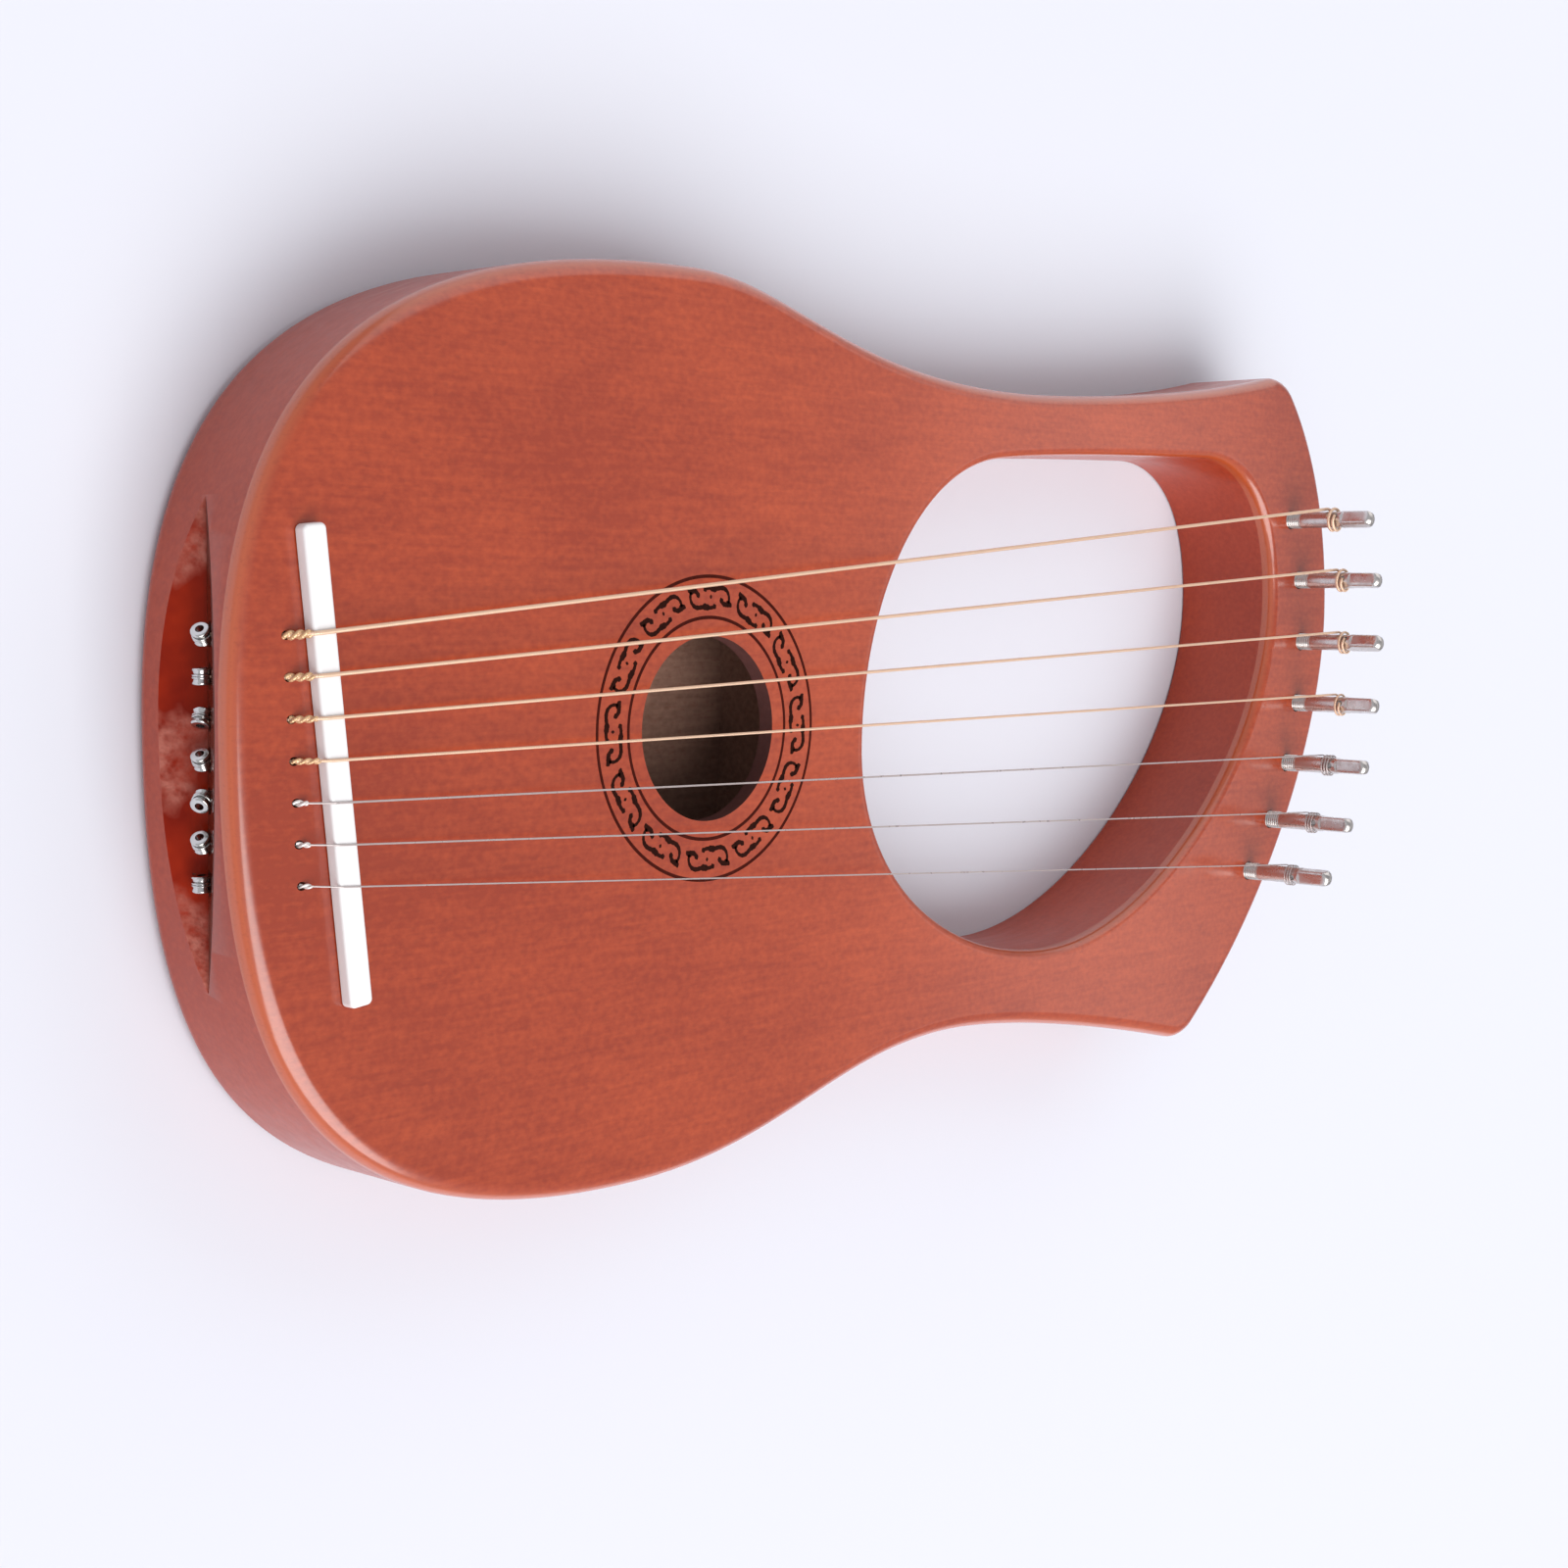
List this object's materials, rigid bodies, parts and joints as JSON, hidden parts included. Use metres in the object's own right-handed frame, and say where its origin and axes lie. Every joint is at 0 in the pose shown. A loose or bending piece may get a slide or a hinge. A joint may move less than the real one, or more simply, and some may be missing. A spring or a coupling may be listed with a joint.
{
  "type": "lyre harp",
  "caption": "Handheld lyre harp: hollow wooden bowl with sound hole, two arms and a yoke, strings from ball ends in a notch over a saddle to turning pins.",
  "frame": {"origin": "middle of the footprint of the harp lying on its back, at the height of what it lies on", "axes": "+Z out of the soundboard, +Y from the base to the yoke with the tuning pins, +X to the treble side"},
  "size_m": [0.209, 0.412, 0.0618],
  "materials": {
    "mahogany_top": "satin",
    "mahogany_sides": "satin",
    "mahogany_back": "satin",
    "brace_wood": "matte",
    "saddle_white": "satin",
    "nickel": "polished",
    "bronze_winding": "satin",
    "plain_steel": "satin"
  },
  "bodies": {
    "body": {"soundboard": "mahogany_top", "body_frame": "mahogany_sides", "back_plate": "mahogany_back", "soundboard_brace": "brace_wood", "back_brace": "brace_wood", "saddle": "saddle_white", "ball_end_1": "nickel", "string_1": "bronze_winding", "ball_end_2": "nickel", "string_2": "bronze_winding", "ball_end_3": "nickel", "string_3": "bronze_winding", "ball_end_4": "nickel", "string_4": "bronze_winding", "ball_end_5": "nickel", "string_5": "plain_steel", "ball_end_6": "nickel", "string_6": "plain_steel", "ball_end_7": "nickel", "string_7": "plain_steel"},
    "pin_1": {"tuning_pin_1": "nickel", "string_coil_1": "bronze_winding"},
    "pin_2": {"tuning_pin_2": "nickel", "string_coil_2": "bronze_winding"},
    "pin_3": {"tuning_pin_3": "nickel", "string_coil_3": "bronze_winding"},
    "pin_4": {"tuning_pin_4": "nickel", "string_coil_4": "bronze_winding"},
    "pin_5": {"tuning_pin_5": "nickel", "string_coil_5": "plain_steel"},
    "pin_6": {"tuning_pin_6": "nickel", "string_coil_6": "plain_steel"},
    "pin_7": {"tuning_pin_7": "nickel", "string_coil_7": "plain_steel"}
  },
  "joints": [
    {"name": "pin_1_turn", "type": "hinge", "parent": "body", "child": "pin_1", "pos_m": [-0.0537, 0.18146, 0.0335], "axis": [0, 0, 1], "continuous": true},
    {"name": "pin_2_turn", "type": "hinge", "parent": "body", "child": "pin_2", "pos_m": [-0.03521, 0.187, 0.0335], "axis": [0, 0, 1], "continuous": true},
    {"name": "pin_3_turn", "type": "hinge", "parent": "body", "child": "pin_3", "pos_m": [-0.01601, 0.1889, 0.0335], "axis": [0, 0, 1], "continuous": true},
    {"name": "pin_4_turn", "type": "hinge", "parent": "body", "child": "pin_4", "pos_m": [0.0032, 0.18708, 0.0335], "axis": [0, 0, 1], "continuous": true},
    {"name": "pin_5_turn", "type": "hinge", "parent": "body", "child": "pin_5", "pos_m": [0.02171, 0.18162, 0.0335], "axis": [0, 0, 1], "continuous": true},
    {"name": "pin_6_turn", "type": "hinge", "parent": "body", "child": "pin_6", "pos_m": [0.03883, 0.17272, 0.0335], "axis": [0, 0, 1], "continuous": true},
    {"name": "pin_7_turn", "type": "hinge", "parent": "body", "child": "pin_7", "pos_m": [0.05393, 0.1607, 0.0335], "axis": [0, 0, 1], "continuous": true}
  ]
}
